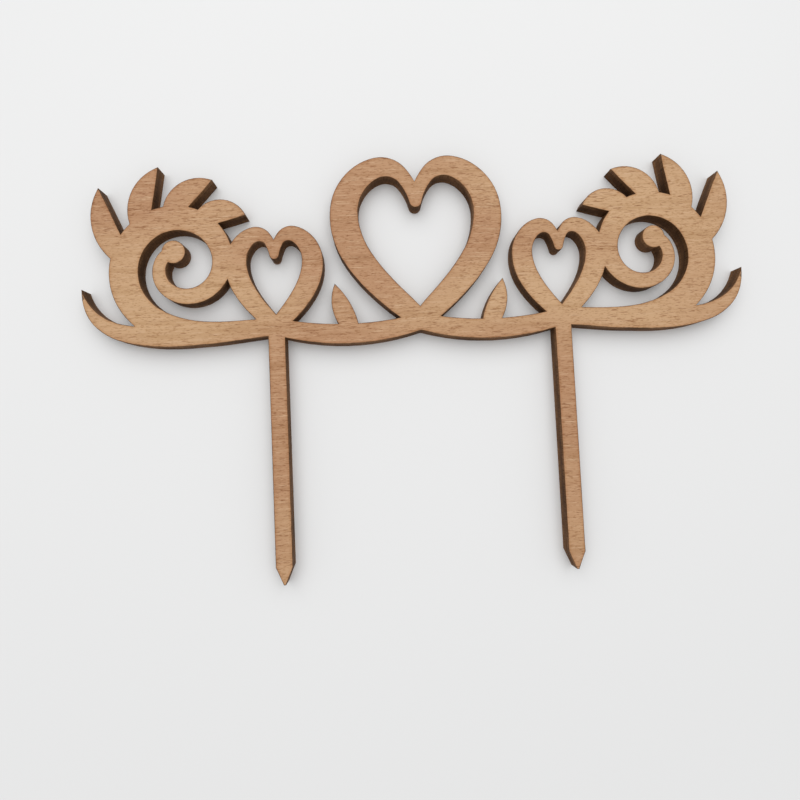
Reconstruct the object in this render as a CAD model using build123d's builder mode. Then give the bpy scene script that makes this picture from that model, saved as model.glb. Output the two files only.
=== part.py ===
"""Laser-cut plywood cake topper: hearts and leafy scrolls on two pointed stakes.

Millimetres, +Z up. The sheet stands in the XZ plane with its show face towards -Y.
The origin is midway between the stakes, in the middle of the sheet's thickness,
on the underside of the ornament, where the stakes go into the cake.
"""

import os
from itertools import pairwise
from math import cos, radians, sin, sqrt, tan

from build123d import *

# Driving dimensions of the plywood sheet
face_veneer_thickness = 1.2
core_ply_thickness = 1.6

# Driving dimensions of the stakes
stake_spacing = 69.2
stake_width = 4.0
stake_length = 56.0
stake_tip_width = 0.5

# Driving dimensions of the swags along the underside
swag_middle_width = 4.8
swag_end_width = 4.2
swag_sag = 2.3

# Driving dimensions of the hearts
big_heart_width = 37.4
big_heart_height = 39.0
big_heart_stroke = 7.0
small_heart_width = 19.4
small_heart_height = 23.0
small_heart_stroke = 5.2

# Driving dimensions of the scrolls, and of the flicks past them
scroll_radius = 15.6
scroll_eye_radius = 3.9
scroll_eye_ball_radius = 2.8
scroll_stroke = 6.9
scroll_lean = 0.7
scroll_dip = 0.7
flick_reach = 21.9
flick_rise = 10.5
flick_stroke = 4.6

# Driving dimensions of the leaves on the scrolls and of the buds on the swags
outer_leaf_length = 19.0
inner_leaf_length = 12.0
leaf_width = 5.8
leaf_bend = 1.8
leaf_stem_width = 3.4
bud_length = 13.0
bud_width = 4.8
bud_bend = 0.6
bud_stem_width = 2.6

# Number of leaves along the back of each scroll
leaf_count = 4

# Angles of the stakes' points, the scrolls' turns, the leaves and the buds, in degrees
stake_point_angle = 46.0
scroll_turn = 504.0
scroll_end_angle = 276.0
scroll_lean_angle = 540.0
outer_leaf_seat_angle = 366.0
inner_leaf_seat_angle = 468.0
leaf_lean_angle = 66.0
bud_angle = 70.0

# Heart lobe: how far across, how far up and how wide, from the tip round to the cleft
heart_lobe_shares = [
    (-0.01, 0.00, 0.62),
    (0.27, 0.26, 0.92),
    (0.46, 0.59, 1.00),
    (0.42, 0.85, 0.90),
    (0.24, 0.98, 0.74),
    (0.00, 0.76, 0.44),
]
heart_side_share = 0.47
# Scroll: width from the eye outwards at even turns, then half-way back along the run to the stake
scroll_width_shares = [0.43, 0.45, 0.48, 0.53, 0.59, 0.67, 0.76, 0.86, 0.94, 0.99, 1.00, 0.92]
scroll_run_share = 0.52
scroll_run_width_share = 0.72
# Flick: how far out, how far up and how wide, from inside the scroll's run to the tip
flick_shares = [
    (-0.27, -0.155, 0.90),
    (0.26, -0.13, 1.00),
    (0.80, 0.22, 0.66),
    (1.00, 1.00, 0.00),
]
# An arc that rises less than this share of its chord is a straight line
straight_share = 0.0005
# Leaf and bud: how far along the blade is widest
blade_belly_share = 0.46
# How far along the swag the bud grows
bud_seat_share = 0.46

# Places that follow from the driving dimensions
sheet_thickness = 2 * face_veneer_thickness + core_ply_thickness
stake_x = stake_spacing / 2
baseline = swag_sag + swag_middle_width / 2


def arc_or_line(start, end, start_tangent):
    """Draw the arc that leaves its start along the tangent, or a line where that is straight."""
    chord = end - start
    if abs(start_tangent.cross(chord).Z) < straight_share * chord.length:
        Line(start, end)
    else:
        TangentArc(start, end, tangent=start_tangent)


def smooth_arcs(points):
    """Draw a smooth curve through the points: two arcs from each point to the next."""
    guide = Spline(*points, mode=Mode.PRIVATE)
    for start, end in pairwise(points):
        leaving = guide.tangent_at(start)
        arriving = guide.tangent_at(end)
        chord = end - start
        pull = 2 * chord.dot(leaving + arriving)
        turn = 2 * (1 - leaving.dot(arriving))
        reach = 2 * chord.dot(chord) / (pull + sqrt(pull**2 + 4 * turn * chord.dot(chord)))
        meeting = (start + end + (leaving - arriving) * reach) / 2
        meeting_tangent = (end - start - (leaving + arriving) * reach).normalized()
        arc_or_line(start, meeting, leaving)
        arc_or_line(meeting, end, meeting_tangent)


def brush_stroke(stations):
    """Return a brush stroke through (x, z, width) stations, pointed where it ends at no width."""
    points = [Vector(x, z) for x, z, width in stations]
    half_widths = [width / 2 for x, z, width in stations]
    spine = Spline(*points, mode=Mode.PRIVATE)
    along = [spine.tangent_at(point) for point in points]
    aside = [tangent.rotate(Axis.Z, 90) for tangent in along]
    left = [p + n * w for p, n, w in zip(points, aside, half_widths)]
    right = [p - n * w for p, n, w in zip(points, aside, half_widths)]
    start_cap = points[0] - along[0] * half_widths[0]
    end_cap = points[-1] + along[-1] * half_widths[-1]
    with BuildSketch() as stroke:
        with BuildLine():
            smooth_arcs(left)
            if half_widths[-1] > 0:
                ThreePointArc(left[-1], end_cap, right[-1])
            smooth_arcs(right[::-1])
            ThreePointArc(right[0], start_cap, left[0])
        make_face()
    return stroke.sketch


def stake():
    """Return the pointed stake that runs down from the baseline into the cake."""
    side = stake_width / 2
    tip = stake_tip_width / 2
    shoulder = (side - tip) / tan(radians(stake_point_angle / 2)) - stake_length
    with BuildSketch() as pick:
        with BuildLine():
            Polyline(
                (stake_x - side, baseline),
                (stake_x + side, baseline),
                (stake_x + side, shoulder),
                (stake_x + tip, -stake_length),
                (stake_x - tip, -stake_length),
                (stake_x - side, shoulder),
                close=True,
            )
        make_face()
    return pick.sketch


def swag_place(along_share):
    """Return the place on the swag between the big heart's tip at 0 and the stake at 1."""
    drop = 4 * swag_sag * along_share * (1 - along_share)
    return Vector(stake_x * along_share, baseline - drop)


def swag():
    """Return the swag that hangs between the big heart's tip and the stake."""
    half_widths = [swag_end_width / 2, swag_middle_width / 2, swag_end_width / 2]
    spine = [swag_place(0), swag_place(0.5), swag_place(1)]
    top = [place + Vector(0, half_width) for place, half_width in zip(spine, half_widths)]
    under = [place - Vector(0, half_width) for place, half_width in zip(spine, half_widths)]
    with BuildSketch() as stroke:
        with BuildLine():
            ThreePointArc(*top)
            Line(top[-1], under[-1])
            ThreePointArc(*under)
            Line(under[0], top[0])
        make_face()
    return stroke.sketch


def heart_lobe(tip_x, width, height, stroke_width):
    """Return the right-hand lobe of a heart whose tip rests on the baseline."""
    stations = []
    for across_share, up_share, width_share in heart_lobe_shares:
        x = tip_x + across_share * width
        z = baseline + up_share * height
        stations.append((x, z, width_share * stroke_width))
    return brush_stroke(stations)


def scroll_spine(angle):
    """Return the scroll's spine about its eye, at an angle counted inwards from its lowest point."""
    turn_share = 1 - (angle - scroll_end_angle) / scroll_turn
    radius = scroll_eye_radius + (scroll_radius - scroll_eye_radius) * turn_share
    return Vector(radius * cos(radians(angle)), radius * sin(radians(angle)))


# The scroll leans on the small heart, so its eye follows from both
small_heart_side = stake_x + heart_side_share * small_heart_width + small_heart_stroke / 2
scroll_eye_x = small_heart_side + scroll_lean - scroll_spine(scroll_lean_angle).X
scroll_eye = Vector(scroll_eye_x, baseline + scroll_radius)
scroll_low = scroll_eye + scroll_spine(scroll_end_angle)
scroll_start = scroll_eye + scroll_spine(scroll_end_angle + scroll_turn)


def scroll():
    """Return the scroll at the ornament's end, run back along the baseline to the stake."""
    step = scroll_turn / (len(scroll_width_shares) - 1)
    stations = []
    for index, width_share in enumerate(scroll_width_shares):
        place = scroll_eye + scroll_spine(scroll_end_angle + scroll_turn - index * step)
        stations.append((place.X, place.Y, width_share * scroll_stroke))
    run_x = scroll_low.X + (stake_x - scroll_low.X) * scroll_run_share
    stations.append((run_x, baseline - scroll_dip, scroll_run_width_share * scroll_stroke))
    stations.append((stake_x, baseline, swag_end_width))
    return brush_stroke(stations)


def flick():
    """Return the tapered flick that carries the baseline on past the scroll."""
    stations = []
    for out_share, up_share, width_share in flick_shares:
        x = scroll_low.X + out_share * flick_reach
        z = scroll_low.Y + up_share * flick_rise
        stations.append((x, z, width_share * flick_stroke))
    return brush_stroke(stations)


def blade(seat, angle, length, width, bend, stem_width):
    """Return a leaf or bud that grows from its seat in the given direction to a point."""
    direction = Vector(cos(radians(angle)), sin(radians(angle)))
    side = direction.rotate(Axis.Z, 90)

    def place(along_share, aside):
        bulge = 4 * along_share * (1 - along_share)
        return seat + direction * (length * along_share) + side * (bend * bulge + aside)

    stem = stem_width / 2
    belly = width / 2
    with BuildSketch() as shape:
        with BuildLine():
            Line(place(0, -stem), place(0, stem))
            ThreePointArc(place(0, stem), place(blade_belly_share, belly), place(1, 0))
            ThreePointArc(place(1, 0), place(blade_belly_share, -belly), place(0, -stem))
        make_face()
    return shape.sketch


def scroll_leaves():
    """Return the leaves that lean along the back of the scroll, longest at its outer side."""
    with BuildSketch() as fan:
        for index in range(leaf_count):
            along_share = index / (leaf_count - 1)
            turn = outer_leaf_seat_angle + (inner_leaf_seat_angle - outer_leaf_seat_angle) * along_share
            length = outer_leaf_length + (inner_leaf_length - outer_leaf_length) * along_share
            seat = scroll_eye + scroll_spine(turn)
            add(blade(seat, turn + leaf_lean_angle, length, leaf_width, -leaf_bend, leaf_stem_width))
    return fan.sketch


# Half of the ornament, to the right of its middle, with one stake
with BuildSketch() as topper_half:
    add(stake())
    add(swag())
    add(heart_lobe(0, big_heart_width, big_heart_height, big_heart_stroke))
    small_lobe = heart_lobe(stake_x, small_heart_width, small_heart_height, small_heart_stroke)
    add(small_lobe)
    mirror(small_lobe, about=Plane.YZ.offset(stake_x))
    add(scroll())
    with Locations(scroll_start):
        Circle(scroll_eye_ball_radius)
    add(scroll_leaves())
    add(flick())
    bud_seat = swag_place(bud_seat_share)
    add(blade(bud_seat, bud_angle, bud_length, bud_width, -bud_bend, bud_stem_width))

# The whole outline that the laser follows through every ply
with BuildSketch() as outline:
    add(topper_half.sketch)
    mirror(topper_half.sketch, about=Plane.YZ)

# The plies, stacked from the back of the sheet to its show face
back_place = -sheet_thickness / 2
core_place = back_place + face_veneer_thickness
front_place = core_place + core_ply_thickness

with BuildPart() as back_veneer:
    with BuildSketch(Plane.XZ.offset(back_place)):
        add(outline.sketch)
    extrude(amount=face_veneer_thickness)

with BuildPart() as core_ply:
    with BuildSketch(Plane.XZ.offset(core_place)):
        add(outline.sketch)
    extrude(amount=core_ply_thickness)

with BuildPart() as front_veneer:
    with BuildSketch(Plane.XZ.offset(front_place)):
        add(outline.sketch)
    extrude(amount=face_veneer_thickness)

os.makedirs("parts", exist_ok=True)
pieces = {"back_veneer": back_veneer, "core_ply": core_ply, "front_veneer": front_veneer}
for name, piece in pieces.items():
    piece.part.label = name
    export_step(piece.part, f"parts/{name}.step")
    box = piece.part.bounding_box()
    print(name, "solids", len(piece.part.solids()), "faces", len(piece.part.faces()), box.min, box.max)
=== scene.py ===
# %% [markdown]
# # A laser-cut plywood cake topper
# The topper is one sheet of thin plywood: a front veneer, a core and a back veneer, glued together
# and cut through by a laser. The CAD model has the three plies at their real size. This lesson
# dresses them: it eases and scorches the arrises, chars the cut walls, draws the wood grain, and
# photographs the result on a pale table.

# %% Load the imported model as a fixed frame
import math
from itertools import pairwise

import bpy
import numpy as np
from mathutils import Matrix, Vector
from mathutils.bvhtree import BVHTree
from mathutils.geometry import delaunay_2d_cdt


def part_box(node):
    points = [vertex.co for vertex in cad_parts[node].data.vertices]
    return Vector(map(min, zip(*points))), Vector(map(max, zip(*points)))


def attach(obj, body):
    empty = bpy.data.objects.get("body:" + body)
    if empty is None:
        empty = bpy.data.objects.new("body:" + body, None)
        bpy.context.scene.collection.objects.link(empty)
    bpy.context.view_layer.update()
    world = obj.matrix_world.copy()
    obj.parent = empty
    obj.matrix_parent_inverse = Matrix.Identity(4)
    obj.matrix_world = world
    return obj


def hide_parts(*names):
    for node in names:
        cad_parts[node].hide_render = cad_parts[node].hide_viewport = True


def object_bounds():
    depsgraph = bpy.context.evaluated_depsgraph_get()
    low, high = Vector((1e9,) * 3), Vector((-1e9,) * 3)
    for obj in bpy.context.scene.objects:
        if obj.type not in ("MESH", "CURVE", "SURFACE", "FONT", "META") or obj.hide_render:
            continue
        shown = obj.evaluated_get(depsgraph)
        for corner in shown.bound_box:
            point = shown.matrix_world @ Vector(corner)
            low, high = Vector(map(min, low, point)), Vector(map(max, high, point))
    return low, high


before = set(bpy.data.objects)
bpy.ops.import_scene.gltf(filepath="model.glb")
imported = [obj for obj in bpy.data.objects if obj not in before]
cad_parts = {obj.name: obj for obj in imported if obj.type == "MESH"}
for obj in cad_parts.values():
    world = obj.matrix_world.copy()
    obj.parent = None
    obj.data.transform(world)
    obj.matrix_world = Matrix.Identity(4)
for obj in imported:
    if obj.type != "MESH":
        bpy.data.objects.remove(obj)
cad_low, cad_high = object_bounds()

MM = 0.001
print("CAD box in mm:", [round(side / MM, 2) for side in cad_high - cad_low])

# %% [markdown]
# ## The camera
# The photograph was taken from close by with a phone, square to the sheet and near its middle, so
# the cut walls that face the middle show beside each stroke. A long lens would hide those walls.
# The spot and the three angles come from where both sides of the stakes lie in the photograph,
# and the lens from how much wall shows.

# %% Camera at the photograph's viewing angle
PHOTO_SIDE_PX = 800
FOCAL_LENGTH_PX = 516
CAMERA_SPOT = Vector((-10.35, -124.9, -20.25)) * MM
CAMERA_YAW = math.radians(2.06)
CAMERA_TILT = math.radians(2.89)
CAMERA_ROLL = math.radians(-2.59)
NEAREST_SEEN = 5 * MM

camera_data = bpy.data.cameras.new("photo_camera")
camera_data.sensor_fit = "HORIZONTAL"
camera_data.lens = camera_data.sensor_width * FOCAL_LENGTH_PX / PHOTO_SIDE_PX
camera_data.clip_start = NEAREST_SEEN
camera = bpy.data.objects.new("photo_camera", camera_data)
bpy.context.scene.collection.objects.link(camera)
look = Matrix.Rotation(-CAMERA_YAW, 3, "Z") @ Matrix.Rotation(math.pi / 2 + CAMERA_TILT, 3, "X")
look = look @ Matrix.Rotation(CAMERA_ROLL, 3, "Z")
camera.matrix_world = Matrix.Translation(CAMERA_SPOT) @ look.to_4x4()
bpy.context.scene.camera = camera
bpy.context.scene.view_settings.view_transform = "Standard"
print("Lens in mm:", round(camera_data.lens, 2), "for a sensor of", camera_data.sensor_width)

# %% [markdown]
# ## Nodes in a few words
# Materials, and the world too, are trees of nodes. Adding each node, its settings and its links by
# hand takes many lines, so one helper does all three. Inputs are given by name or number, and each
# is either a plain value or the output of another node. Two more helpers add a sum or a comparison,
# and start a material.

# %% Helpers for nodes and materials
def add_node(tree, kind, inputs=(), **settings):
    """Add a node, set its settings, and fill its inputs with values or links."""
    made = tree.nodes.new(kind)
    for setting, value in settings.items():
        setattr(made, setting, value)
    for socket, value in dict(inputs).items():
        if isinstance(value, bpy.types.NodeSocket):
            tree.links.new(value, made.inputs[socket])
        else:
            made.inputs[socket].default_value = value
    return made


def math_node(tree, operation, first, second):
    """Return the result of a math operation on two values."""
    return add_node(tree, "ShaderNodeMath", {0: first, 1: second}, operation=operation).outputs[0]


def new_material(name):
    """Return a material, its node tree and its main shader."""
    material = bpy.data.materials.new(name)
    material.use_nodes = True
    return material, material.node_tree, material.node_tree.nodes["Principled BSDF"]


# %% [markdown]
# ## The table
# The topper lies flat on a pale table. In its own frame the sheet stands upright, so the table top
# is an upright plane that touches the back veneer, and it catches the soft shadow round each stroke.
# It would also hide and darken the back, so three kinds of ray pass through it: camera rays from
# behind, camera rays that meet it far from the topper, where it fades into the background, and very
# short rays between it and the back veneer, which bring light to the back.

# %% Pale table top
TABLE_SIDE = 3.0
TABLE_GAP = 0.01 * MM
SHORT_RAY = 6 * TABLE_GAP
TABLE_COLOUR = (0.86, 0.862, 0.862, 1.0)
TABLE_ROUGHNESS = 0.8
TABLE_SHINE = 0.0
FADE_START, FADE_END = 0.09, 0.26


def pale_table():
    """Return the table's finish: matte and pale, and clear to the three kinds of ray."""
    material, tree, shader = new_material("pale_table")
    shader.inputs["Base Color"].default_value = TABLE_COLOUR
    shader.inputs["Roughness"].default_value = TABLE_ROUGHNESS
    shader.inputs["Specular IOR Level"].default_value = TABLE_SHINE
    path = add_node(tree, "ShaderNodeLightPath").outputs
    from_behind = add_node(tree, "ShaderNodeNewGeometry").outputs["Backfacing"]
    place = add_node(tree, "ShaderNodeTexCoord").outputs["Object"]
    reach = add_node(tree, "ShaderNodeVectorMath", {0: place}, operation="LENGTH").outputs["Value"]
    limits = {"Value": reach, "From Min": FADE_START, "From Max": FADE_END}
    fade = add_node(tree, "ShaderNodeMapRange", limits, interpolation_type="SMOOTHSTEP").outputs[0]
    unseen = math_node(tree, "MAXIMUM", from_behind, fade)
    unseen = math_node(tree, "MULTIPLY", path["Is Camera Ray"], unseen)
    short = math_node(tree, "LESS_THAN", path["Ray Length"], SHORT_RAY)
    passed = math_node(tree, "MAXIMUM", unseen, short)
    clear = add_node(tree, "ShaderNodeBsdfTransparent").outputs[0]
    mixed = add_node(tree, "ShaderNodeMixShader", {0: passed, 1: shader.outputs[0], 2: clear})
    tree.links.new(mixed.outputs[0], tree.nodes["Material Output"].inputs["Surface"])
    return material


half = TABLE_SIDE / 2
table_y = cad_high.y + TABLE_GAP
table_mesh = bpy.data.meshes.new("table")
table_corners = [(x * half, table_y, z * half) for x, z in ((-1, -1), (1, -1), (1, 1), (-1, 1))]
table_mesh.from_pydata(table_corners, [], [(0, 1, 2, 3)])
table_mesh.materials.append(pale_table())
table = bpy.data.objects.new("table", table_mesh)
bpy.context.scene.collection.objects.link(table)
print("Table top at y in mm:", round(table_y / MM, 3))

# %% [markdown]
# ## The light
# A plain level of light shows a colour about as it is written. In the photograph it dims softly on
# every side of a stroke, a little more below than above. So half of it comes from one large softbox
# in front of the sheet and a little higher, and the rest evenly from all round. A small lamp would
# draw hard shadows instead. A second softbox lights the back in the same way. The background that
# the camera sees is a separate pale colour.

# %% World and two softboxes
SOFTBOX_SPOT = Vector((-0.03, -0.6, 0.28))
SOFTBOX_SIDE = 0.95
SOFTBOX_WATTS = 3.45
FRONT_TO_BACK = Vector((-1, -1, 1))
WHITE = (1.0, 1.0, 1.0, 1.0)
WORLD_LIGHT = 0.55
WORLD_BACKGROUND = (0.822, 0.824, 0.826, 1.0)


def pale_world():
    """Light the scene evenly, and show a plain pale background."""
    world = bpy.data.worlds.new("pale_world")
    world.use_nodes = True
    tree = world.node_tree
    light = tree.nodes["Background"]
    light.inputs["Color"].default_value = WHITE
    light.inputs["Strength"].default_value = WORLD_LIGHT
    shown = add_node(tree, "ShaderNodeBackground", {"Color": WORLD_BACKGROUND, "Strength": 1.0})
    path = add_node(tree, "ShaderNodeLightPath").outputs
    direct = math_node(tree, "MAXIMUM", path["Is Camera Ray"], path["Is Glossy Ray"])
    direct = math_node(tree, "MAXIMUM", direct, path["Is Transmission Ray"])
    mixed = add_node(tree, "ShaderNodeMixShader", {0: direct, 1: light.outputs[0], 2: shown.outputs[0]})
    tree.links.new(mixed.outputs[0], tree.nodes["World Output"].inputs["Surface"])
    bpy.context.scene.world = world


def softbox(name, spot):
    """Add a square lamp that faces the topper."""
    lamp = bpy.data.lights.new(name, "AREA")
    lamp.shape = "SQUARE"
    lamp.size = SOFTBOX_SIDE
    lamp.energy = SOFTBOX_WATTS
    made = bpy.data.objects.new(name, lamp)
    made.location = spot
    made.rotation_euler = spot.to_track_quat("Z", "Y").to_euler()
    bpy.context.scene.collection.objects.link(made)
    print("Lamp:", name, "at", [round(part, 2) for part in spot], "watts:", SOFTBOX_WATTS)


pale_world()
softbox("front_softbox", SOFTBOX_SPOT)
softbox("back_softbox", SOFTBOX_SPOT * FRONT_TO_BACK)

# %% [markdown]
# ## The cut line
# The laser follows one closed line round the outside and one round each opening. The CAD plies
# already hold that line: it is the rim of a ply's front face. An edge of that face is on the rim
# when no second triangle uses it the other way round, and following such edges from one to the
# next gives the loops. Reading them keeps the dressed pieces exactly where the CAD pieces are.

# %% Read the loops of the cut line
SAME_PLACE = 1e-6


def cut_loops(node):
    """Return the loops round a node's front face as (x, z) rows, with the wood on the left."""
    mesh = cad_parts[node].data
    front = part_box(node)[0].y
    edges = set()
    for face in mesh.polygons:
        corners = list(face.vertices)
        if max(mesh.vertices[corner].co.y for corner in corners) - front < SAME_PLACE:
            edges.update(zip(corners, corners[1:] + corners[:1]))
    following = {start: end for start, end in sorted(edges) if (end, start) not in edges}
    loops = []
    while following:
        first, corner = following.popitem()
        loop = [first]
        while corner != first:
            loop.append(corner)
            corner = following.pop(corner)
        loops.append(np.array([mesh.vertices[corner].co.xz for corner in loop]))
    return loops


cad_loops = cut_loops("front_veneer")
print("Loops and their points:", [len(loop) for loop in cad_loops])

# %% [markdown]
# The long straight sides of the stakes have points only at their ends. More points there keep the
# faces that are made below from growing long and thin. Then all loops go into one array, with the
# number of the point that comes after each point, and how far along the cut it is.

# %% One array for the whole cut
LONGEST_STEP = 2.0 * MM


def divided(loop):
    """Return a loop with more points on its long straight runs."""
    rows = []
    for start, end in zip(loop, np.roll(loop, -1, axis=0)):
        count = math.ceil(np.linalg.norm(end - start) / LONGEST_STEP)
        rows.append(start + (end - start) * np.arange(count)[:, None] / count)
    return np.vstack(rows)


loops = [divided(loop) for loop in cad_loops]
cut = np.vstack(loops)
sizes = np.array([len(loop) for loop in loops])
loop_ends = np.cumsum(sizes)
after = np.arange(len(cut)) + 1
after[loop_ends - 1] = loop_ends - sizes
before = np.argsort(after)
steps = np.linalg.norm(cut[after] - cut, axis=1)
run_end = np.cumsum(steps)
run_start = run_end - steps
print("Points:", len(cut), "length of the cut in mm:", round(run_end[-1] / MM, 1))

# %% [markdown]
# ## Into the wood from the cut
# To ease an arris, or to know where the scorch fades, points have to move from the cut line into
# the wood. Each point moves square to the line, and at a corner along the corner's middle. At a
# pointed tip the two sides would soon cross, so the move shrinks to nothing towards the tip.

# %% Inward steps, and the room for them near tips
SHARP_TURN = math.radians(20)
MOST_MITRE = 2.0

ahead = (cut[after] - cut) / steps[:, None]
behind = ahead[before]
turn = np.arctan2(behind[:, 0] * ahead[:, 1] - behind[:, 1] * ahead[:, 0], (behind * ahead).sum(axis=1))
both = ahead + behind
inward = np.column_stack((-both[:, 1], both[:, 0])) / np.linalg.norm(both, axis=1)[:, None]
inward *= np.minimum(1 / np.cos(turn / 2), MOST_MITRE)[:, None]

tips = np.flatnonzero(turn > SHARP_TURN)
room = np.full(len(cut), np.inf)
for tip in tips:
    away = np.linalg.norm(cut - cut[tip], axis=1)
    room = np.minimum(room, away * math.tan((math.pi - turn[tip]) / 2) / 2)


def moved_in(depth):
    """Return the cut line moved into the wood by a depth, or by less near a tip."""
    return cut + inward * np.minimum(depth, room)[:, None]


print("Pointed corners:", len(tips))

# %% [markdown]
# ## Inside or outside
# A place lies in the wood when a ray from it to the right crosses the rim an odd number of times.
# That simple test works with any number of openings, and numpy does it for all places at once.

# %% Test for places in the wood
LEFT_STAKE_MIDDLE = np.array([[-34.6, -30.0]]) * MM


def in_wood(places, rim):
    """Say which places lie inside the rim and outside its openings."""
    x, z = places.T
    inside = np.zeros(len(places), dtype=bool)
    for (x0, z0), (x1, z1) in zip(rim, rim[after]):
        if z0 != z1:
            inside ^= ((z0 > z) != (z1 > z)) & (x < x0 + (z - z0) * (x1 - x0) / (z1 - z0))
    return inside


print("Middle of the left stake in the wood:", in_wood(LEFT_STAKE_MIDDLE, cut)[0])

# %% [markdown]
# ## How far a point is from the cut
# The scorch on a face depends only on how far a point is from the cut. A search tree of the cut's
# wall answers that quickly for any point. Rows of points at a few depths then carry the distance
# into the mesh, where the material can read it. Points that land nearer to another stretch of the
# cut than to their own are left out. One row is enough for the faces that the glue hides.

# %% Distance to the cut, and the points that carry it
SHOWN_DEPTHS = np.array([0.2, 0.45, 0.85, 1.4, 2.1]) * MM
HIDDEN_DEPTHS = np.array([0.95]) * MM
KEPT_SHARE = 0.95


def stand_up(places, y):
    """Return (x, z) places as points at one depth in the sheet."""
    return np.insert(places, 1, y, axis=1)


count = len(cut)
here = np.arange(count)
wall_points = np.vstack((stand_up(cut, cad_low.y), stand_up(cut, cad_high.y)))
wall_faces = np.column_stack((here, here + count, after + count, after))
cut_wall = BVHTree.FromPolygons(wall_points.tolist(), wall_faces.tolist())


def distance_to_cut(places):
    """Return how far each place on a face is from the cut."""
    nearest = [cut_wall.find_nearest((x, 0.0, z)) for x, z in places]
    return np.array([distance for place, normal, face, distance in nearest])


def points_inside(depths):
    """Return points in the wood, at the given depths from the cut."""
    tries = np.vstack([cut + inward * depth for depth in depths])
    deep_enough = distance_to_cut(tries) > KEPT_SHARE * np.repeat(depths, count)
    return tries[deep_enough & in_wood(tries, cut)]


shown_points = points_inside(SHOWN_DEPTHS)
hidden_points = points_inside(HIDDEN_DEPTHS)
print("Points on a shown face:", len(shown_points), "on a hidden one:", len(hidden_points))

# %% [markdown]
# ## Walls and faces of a ply
# Each ply is a closed shell: a front face, a back face, and walls between them. The walls are rows
# of four-sided faces between copies of the cut line, each copy at its own depth and moved in a
# little where an arris is eased. The faces have openings, so a constrained triangulation fills
# them: it keeps every edge of the rim, and the triangles that lie in an opening are dropped.

# %% Walls between rows, and the fill of a face
CDT_INSIDE = 1
CDT_NEARNESS = 1e-6


def walls(rows):
    """Return the faces between (depth, y) rows, and their corners' places along and through the cut."""
    faces, places = [], []
    for row, (near, far) in enumerate(pairwise(y for depth, y in rows)):
        faces.append(wall_faces + row * count)
        along = np.column_stack((run_start, run_start, run_end, run_end))
        through = np.tile((near, far, far, near), (count, 1))
        places.append(np.dstack((along, through)))
    return np.vstack(faces), np.vstack(places) / MM


def face_fill(depth, extra, rim_start, extra_start):
    """Return the triangles of a face whose rim and extra points start at two places in the ply."""
    rim = moved_in(depth)
    points = np.vstack((rim, extra))
    flat = [Vector(point) for point in points / MM]
    edges = list(zip(here.tolist(), after.tolist()))
    made = delaunay_2d_cdt(flat, edges, [], CDT_INSIDE, CDT_NEARNESS)
    made_points, _, made_faces, point_sources, _, _ = made
    assert len(made_points) == len(points), "the triangulation added or joined points"
    source = np.array([numbers[0] for numbers in point_sources])
    triangles = source[np.array(made_faces)]
    triangles = triangles[in_wood(points[triangles].mean(axis=1), rim)]
    return np.where(triangles < count, triangles + rim_start, triangles - count + extra_start)


print("Wall faces between two rows:", len(wall_faces))

# %% [markdown]
# ## Joining them into a piece
# Walls and faces share their corners, so the shell is closed. It also carries what the materials
# read: which of two finishes a face has, a UV map with the place along and through the cut, and
# each corner's distance to the cut. Edges sharper than a set angle stay crisp, and the rest is
# shaded smooth.

# %% Make a piece from rows
FACE_FINISH, CUT_FINISH = 0, 1
CRISP_ANGLE = math.radians(30)


def ply_shell(name, rows, finishes, front_extra, back_extra):
    """Make a closed layer from (depth, y) rows, front first, and return its object."""
    (front_depth, front_y), (back_depth, back_y) = rows[0], rows[-1]
    rims = [stand_up(moved_in(depth), y) for depth, y in rows]
    corners = np.vstack((*rims, stand_up(front_extra, front_y), stand_up(back_extra, back_y)))
    last_rim, first_extra = (len(rows) - 1) * count, len(rows) * count
    quads, cut_places = walls(rows)
    front = face_fill(front_depth, front_extra, 0, first_extra)
    back = face_fill(back_depth, back_extra, last_rim, first_extra + len(front_extra))
    triangles = np.vstack((front, back[:, ::-1]))

    mesh = bpy.data.meshes.new(name)
    mesh.from_pydata(corners.tolist(), [], quads.tolist() + triangles.tolist())
    marks = [CUT_FINISH] * len(quads) + [FACE_FINISH] * len(triangles)
    mesh.polygons.foreach_set("material_index", marks)
    for finish in finishes:
        mesh.materials.append(finish)
    places = np.concatenate((cut_places.ravel(), np.zeros(triangles.size * 2)))
    mesh.uv_layers.new(name="cut_run").data.foreach_set("uv", places)
    distances = distance_to_cut(corners[:, [0, 2]]) / MM
    mesh.attributes.new("edge_distance", "FLOAT", "POINT").data.foreach_set("value", distances)
    mesh.shade_smooth()
    mesh.set_sharp_from_angle(angle=CRISP_ANGLE)

    piece = bpy.data.objects.new(name, mesh)
    bpy.context.scene.collection.objects.link(piece)
    print(name, "points:", len(mesh.vertices), "faces:", len(mesh.polygons))
    return piece


# %% [markdown]
# ## Noise in millimetres
# Every finish below is made of noise that is stretched and mixed. A noise is easiest to read when
# its size is given in millimetres, so a helper takes the length of a ripple along each axis. The
# others remap a value between limits, mix or multiply colours by a mask, and turn a height into a
# bump. A Mix node has sockets for numbers, vectors and colours, and those for colours go by number.

# %% Helpers for noise, masks, colours and bumps
MIX_FIRST, MIX_SECOND, MIX_RESULT = 6, 7, 2


def ripples(tree, place, lengths_mm, detail=2.0, start=(0, 0, 0)):
    """Return noise whose ripples have the given lengths along the three axes of a place in mm."""
    scale = [1 / length for length in lengths_mm]
    spread = add_node(tree, "ShaderNodeMapping", {"Vector": place, "Scale": scale, "Location": start})
    inputs = {"Vector": spread.outputs[0], "Scale": 1.0, "Detail": detail}
    return add_node(tree, "ShaderNodeTexNoise", inputs).outputs[0]


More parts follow.
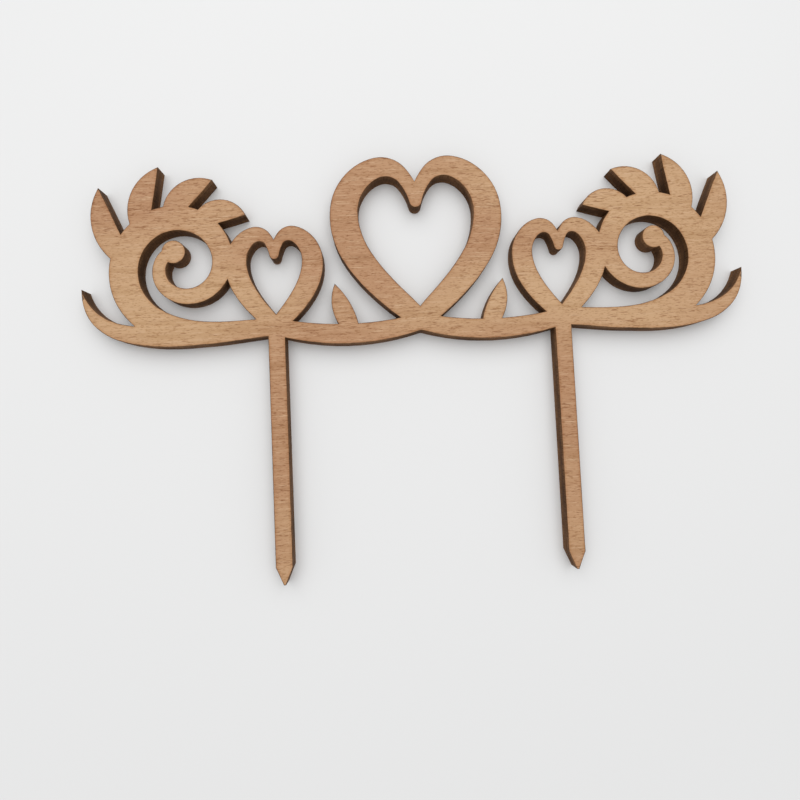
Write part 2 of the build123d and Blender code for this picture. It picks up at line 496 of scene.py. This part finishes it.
def between(tree, value, low, high):
    """Return 0 where a value is at low, 1 where it is at high, and a smooth rise between them."""
    inputs = {"Value": value, "From Min": low, "From Max": high}
    return add_node(tree, "ShaderNodeMapRange", inputs, interpolation_type="SMOOTHSTEP").outputs[0]


def spread_out(tree, value, low, high):
    """Return a value from 0 to 1 as one from low to high."""
    return add_node(tree, "ShaderNodeMapRange", {"Value": value, "To Min": low, "To Max": high}).outputs[0]


def blend(tree, mask, first, second, how="MIX"):
    """Return the first colour with the second mixed or multiplied over it where the mask is 1."""
    made = add_node(tree, "ShaderNodeMix", {"Factor": mask}, data_type="RGBA", blend_type=how)
    for socket, colour in ((made.inputs[MIX_FIRST], first), (made.inputs[MIX_SECOND], second)):
        if isinstance(colour, bpy.types.NodeSocket):
            tree.links.new(colour, socket)
        else:
            socket.default_value = (*colour, 1.0)
    return made.outputs[MIX_RESULT]


def bump(tree, shader, height, depth_mm, strength):
    """Let a height raise and sink the surface by a depth in mm."""
    inputs = {"Height": height, "Strength": strength, "Distance": depth_mm * MM}
    tree.links.new(add_node(tree, "ShaderNodeBump", inputs).outputs[0], shader.inputs["Normal"])


# %% [markdown]
# ## The run of the grain
# The face is a sanded brown hardwood with fine straight grain along the topper, also across the
# stakes. Real grain is never ruled straight, so a slow noise lifts and lowers it by a fraction of a
# millimetre. Everything else about the wood is then laid out on these wavering places.

# %% Places along the grain
WAVER = {"lengths_mm": (70, 3, 30), "detail": 1.0}
MOST_WAVER_MM = 0.9


def grain_place(tree, grain_turn):
    """Return the place on the wood in mm, with its turn in the sheet and the slow waver of the grain."""
    place = add_node(tree, "ShaderNodeTexCoord").outputs["Object"]
    inputs = {"Vector": place, "Scale": [1 / MM] * 3, "Rotation": (0, grain_turn, 0)}
    place = add_node(tree, "ShaderNodeMapping", inputs).outputs[0]
    rise = spread_out(tree, ripples(tree, place, **WAVER), -MOST_WAVER_MM, MOST_WAVER_MM)
    lift = add_node(tree, "ShaderNodeCombineXYZ", {"Z": rise}).outputs[0]
    return add_node(tree, "ShaderNodeVectorMath", {0: place, 1: lift}, operation="ADD").outputs[0]


# %% [markdown]
# ## The wood of the faces
# Three things show on the sanded face: slow changes between a yellower and a pinker tan, very fine
# fibres, and short dark pores, one to three millimetres long. An image could hold them, but noise
# that is stretched along the grain gives all three at any distance, with no repeats. Noises of like
# lengths start at different places, so that they don't line up.

# %% Colours of the sanded wood
YELLOW_TAN = (0.596, 0.376, 0.208)
PINK_TAN = (0.486, 0.267, 0.144)
BAND_TINT = (0.88, 0.845, 0.79)
FIBRE_TINT = (0.87, 0.825, 0.76)
LIGHT_FIBRE = (0.64, 0.425, 0.262)
TICK_TINT = (0.77, 0.69, 0.59)
PORE_TINT = (0.67, 0.57, 0.49)

TONE = {"lengths_mm": (75, 4, 30), "detail": 1.0, "start": (2, 0, 1)}
BANDS = {"lengths_mm": (30, 4, 1.3), "detail": 3.0}
FIBRES = {"lengths_mm": (4.5, 4, 0.17), "detail": 3.0}
TICKS = {"lengths_mm": (0.75, 4, 0.19), "detail": 1.0, "start": (7, 0, 3)}
CROWDS = {"lengths_mm": (22, 4, 5.0), "detail": 1.0, "start": (3, 0, 9)}
DASHES = {"lengths_mm": (1.8, 4, 0.24), "detail": 1.0, "start": (1, 0, 5)}

PINK_LIMITS = (0.33, 0.57)
BAND_LIMITS = (0.45, 0.72)
DARK_FIBRE_LIMITS = (0.52, 0.80)
LIGHT_FIBRE_LIMITS = (0.46, 0.24)
TICK_LIMITS = (0.54, 0.70)
PORE_LIMITS = (0.60, 0.72)
CROWDING = 0.11


def wood_colour(tree, place):
    """Return the colour of the sanded wood, its fibres, and the mask of its pores."""
    tone = ripples(tree, place, **TONE)
    bands = ripples(tree, place, **BANDS)
    fibres = ripples(tree, place, **FIBRES)
    ticks = ripples(tree, place, **TICKS)
    crowds = ripples(tree, place, **CROWDS)
    dashes = ripples(tree, place, **DASHES)
    crowded = math_node(tree, "ADD", dashes, spread_out(tree, crowds, -CROWDING, CROWDING))
    pores = between(tree, crowded, *PORE_LIMITS)
    colour = blend(tree, between(tree, tone, *PINK_LIMITS), YELLOW_TAN, PINK_TAN)
    colour = blend(tree, between(tree, bands, *BAND_LIMITS), colour, BAND_TINT, "MULTIPLY")
    colour = blend(tree, between(tree, fibres, *DARK_FIBRE_LIMITS), colour, FIBRE_TINT, "MULTIPLY")
    colour = blend(tree, between(tree, fibres, *LIGHT_FIBRE_LIMITS), colour, LIGHT_FIBRE)
    colour = blend(tree, between(tree, ticks, *TICK_LIMITS), colour, TICK_TINT, "MULTIPLY")
    return blend(tree, pores, colour, PORE_TINT, "MULTIPLY"), fibres, pores


# %% [markdown]
# ## The scorched rim
# Beside the cut the heat leaves a hair-thin charred line and a faint brown toast. On the back it
# reaches further, because the sheet lay on the laser's grid and the smoke stayed under it. Both
# follow the distance that the mesh carries, and a little noise keeps them from being a ruled line.
# The core's faces are hidden, but it is the same wood with its grain turned across.

# %% Wood with its scorched rim
TOAST_TINT = (0.88, 0.79, 0.70)
CHAR_COLOUR = (0.075, 0.043, 0.027)
FRONT_SCORCH_MM = {"toast_reach": 0.9, "char_reach": 0.19}
BACK_SCORCH_MM = {"toast_reach": 1.2, "char_reach": 0.24}
FULL_CHAR_MM = 0.05
RAGGED_RIM = {"lengths_mm": (1.4, 4, 1.4), "detail": 2.0}
MOST_RAGGED_MM = 0.12
CROSS_GRAIN = math.radians(90)
WOOD_ROUGHNESS = (0.5, 0.72)
WOOD_SHINE = 0.25
PORE_SINK = 0.6
WOOD_BUMP = {"depth_mm": 0.05, "strength": 0.35}


def wood_face(name, toast_reach, char_reach, grain_turn=0.0):
    """Return the finish of a face, with toast and char that reach in from the cut, in mm."""
    material, tree, shader = new_material(name)
    place = grain_place(tree, grain_turn)
    colour, fibres, pores = wood_colour(tree, place)
    distance = add_node(tree, "ShaderNodeAttribute", attribute_name="edge_distance").outputs["Fac"]
    uneven = spread_out(tree, ripples(tree, place, **RAGGED_RIM), MOST_RAGGED_MM, -MOST_RAGGED_MM)
    ragged = math_node(tree, "ADD", distance, uneven)
    colour = blend(tree, between(tree, ragged, toast_reach, 0.0), colour, TOAST_TINT, "MULTIPLY")
    colour = blend(tree, between(tree, ragged, char_reach, FULL_CHAR_MM), colour, CHAR_COLOUR)
    tree.links.new(colour, shader.inputs["Base Color"])
    tree.links.new(spread_out(tree, fibres, *WOOD_ROUGHNESS), shader.inputs["Roughness"])
    shader.inputs["Specular IOR Level"].default_value = WOOD_SHINE
    sunk_pores = spread_out(tree, pores, 0.0, PORE_SINK)
    bump(tree, shader, math_node(tree, "SUBTRACT", fibres, sunk_pores), **WOOD_BUMP)
    return material


front_wood = wood_face("sanded_front", **FRONT_SCORCH_MM)
core_wood = wood_face("cross_grain_core", **FRONT_SCORCH_MM, grain_turn=CROSS_GRAIN)
back_wood = wood_face("sanded_back", **BACK_SCORCH_MM)
for finish in (front_wood, core_wood, back_wood):
    print(finish.name, "nodes:", len(finish.node_tree.nodes))

# %% [markdown]
# ## The charred cut
# The laser leaves the walls of the cut dark brown, with fine marks straight through the sheet and
# slow changes along the cut where it moved slower or faster. Those run along the cut, whichever way
# the outline turns, so the noise is laid out along the cut, on the UV map in millimetres. The
# cross-grain core burns a little darker than the veneers.

# %% Charred walls of the veneers and of the core
VENEER_CHAR = ((0.208, 0.104, 0.045), (0.104, 0.048, 0.018))
CORE_CHAR = ((0.162, 0.077, 0.032), (0.077, 0.034, 0.012))
SOOT = (0.52, 0.46, 0.42)
PATCHES = {"lengths_mm": (11, 5, 1), "detail": 2.0}
MARKS = {"lengths_mm": (0.16, 2.5, 1), "detail": 3.0, "start": (5, 2, 0)}
SPECKS = {"lengths_mm": (0.3, 0.3, 1), "detail": 2.0, "start": (1, 8, 0)}
PATCH_LIMITS = (0.35, 0.65)
MARK_LIMITS = (0.42, 0.70)
SPECK_LIMITS = (0.58, 0.74)
CUT_ROUGHNESS = (0.5, 0.85)
CUT_SHINE = 0.1
SPECK_RISE = 0.4
CUT_BUMP = {"depth_mm": 0.06, "strength": 0.5}


def charred_cut(name, colours):
    """Return the finish of a ply's cut wall, from its lightest and darkest brown."""
    material, tree, shader = new_material(name)
    run = add_node(tree, "ShaderNodeUVMap", uv_map="cut_run").outputs[0]
    patches = ripples(tree, run, **PATCHES)
    marks = ripples(tree, run, **MARKS)
    specks = ripples(tree, run, **SPECKS)
    colour = blend(tree, between(tree, patches, *PATCH_LIMITS), *colours)
    colour = blend(tree, between(tree, marks, *MARK_LIMITS), colour, SOOT, "MULTIPLY")
    colour = blend(tree, between(tree, specks, *SPECK_LIMITS), colour, SOOT, "MULTIPLY")
    tree.links.new(colour, shader.inputs["Base Color"])
    tree.links.new(spread_out(tree, specks, *CUT_ROUGHNESS), shader.inputs["Roughness"])
    shader.inputs["Specular IOR Level"].default_value = CUT_SHINE
    raised_specks = spread_out(tree, specks, 0.0, SPECK_RISE)
    bump(tree, shader, math_node(tree, "ADD", marks, raised_specks), **CUT_BUMP)
    return material


veneer_cut = charred_cut("charred_veneer_cut", VENEER_CHAR)
core_cut = charred_cut("charred_core_cut", CORE_CHAR)
print("Finishes:", veneer_cut.name, core_cut.name)

# %% [markdown]
# ## The three plies
# Burning and sanding ease the outer arrises of the veneers a little. Where two plies meet, each has
# a hair-fine bevel, so that the joint shows as a fine line, as it does on real plywood. A bevel
# modifier could ease the edges too, but it would also blunt the pointed tips of the leaves.

# %% Front veneer, core and back veneer
EASE = 0.09 * MM
ROUND_SHARE = 0.3
JOINT_BEVEL = 0.05 * MM


def outer_arris(y, into):
    """Return the rows of an eased arris, from the face at y into the ply."""
    middle = ROUND_SHARE * EASE
    return [(EASE, y), (middle, y + middle * into), (0.0, y + EASE * into)]


def joint_arris(y, into):
    """Return the rows of the fine bevel where a ply meets the next one at y."""
    return [(JOINT_BEVEL, y), (0.0, y + JOINT_BEVEL * into)]


front_y, core_front_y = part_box("front_veneer")[0].y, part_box("core_ply")[0].y
core_back_y, back_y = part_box("core_ply")[1].y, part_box("back_veneer")[1].y
front_rows = outer_arris(front_y, 1) + joint_arris(core_front_y, -1)[::-1]
core_rows = joint_arris(core_front_y, 1) + joint_arris(core_back_y, -1)[::-1]
back_rows = joint_arris(core_back_y, 1) + outer_arris(back_y, -1)[::-1]
front_ply = ply_shell("front_veneer_ply", front_rows, (front_wood, veneer_cut), shown_points, hidden_points)
core = ply_shell("core_ply_layer", core_rows, (core_wood, core_cut), hidden_points, hidden_points)
back_ply = ply_shell("back_veneer_ply", back_rows, (back_wood, veneer_cut), hidden_points, shown_points)

# %% [markdown]
# Each ply now takes the place of its CAD node: it rides on the same body and hides the plain solid.

# %% Put the plies in the CAD nodes' places
for piece, node, slot in (
    (front_ply, "front_veneer", "face_veneer"),
    (core, "core_ply", "core_ply"),
    (back_ply, "back_veneer", "face_veneer"),
):
    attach(piece, "root")
    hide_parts(node)
    print(piece.name, "replaces", node)

# %% [markdown]
# ## The glue films
# Between the plies lies a film of dark resin, thinner than a hair. On the cut edge it is a fine dark
# line. It could be painted on the walls, but as its own thin closed layer in the bevels between the
# plies it stays a separate piece, as it is on the real sheet.

# %% Two glue films
FILM_THICKNESS = 0.09 * MM
FILM_RECESS = 0.015 * MM
RESIN_COLOURS = ((0.030, 0.018, 0.012), (0.014, 0.009, 0.007))
CLOUD = {"lengths_mm": (1.5, 1.5, 1), "detail": 2.0}
CLOUD_LIMITS = (0.35, 0.65)
RESIN_ROUGHNESS = (0.35, 0.6)
RESIN_SHINE = 0.15
RESIN_BUMP = {"depth_mm": 0.01, "strength": 0.3}


def resin_film():
    """Return the finish of the cured resin: nearly black and a little glossy."""
    material, tree, shader = new_material("resin_film")
    run = add_node(tree, "ShaderNodeUVMap", uv_map="cut_run").outputs[0]
    cloud = ripples(tree, run, **CLOUD)
    colour = blend(tree, between(tree, cloud, *CLOUD_LIMITS), *RESIN_COLOURS)
    tree.links.new(colour, shader.inputs["Base Color"])
    tree.links.new(spread_out(tree, cloud, *RESIN_ROUGHNESS), shader.inputs["Roughness"])
    shader.inputs["Specular IOR Level"].default_value = RESIN_SHINE
    bump(tree, shader, cloud, **RESIN_BUMP)
    return material


resin = resin_film()
for name, y in (("front_glue_film", core_front_y), ("back_glue_film", core_back_y)):
    film_rows = [(FILM_RECESS, y - FILM_THICKNESS / 2), (FILM_RECESS, y + FILM_THICKNESS / 2)]
    film = ply_shell(name, film_rows, (resin, resin), hidden_points, hidden_points)
    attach(film, "root")
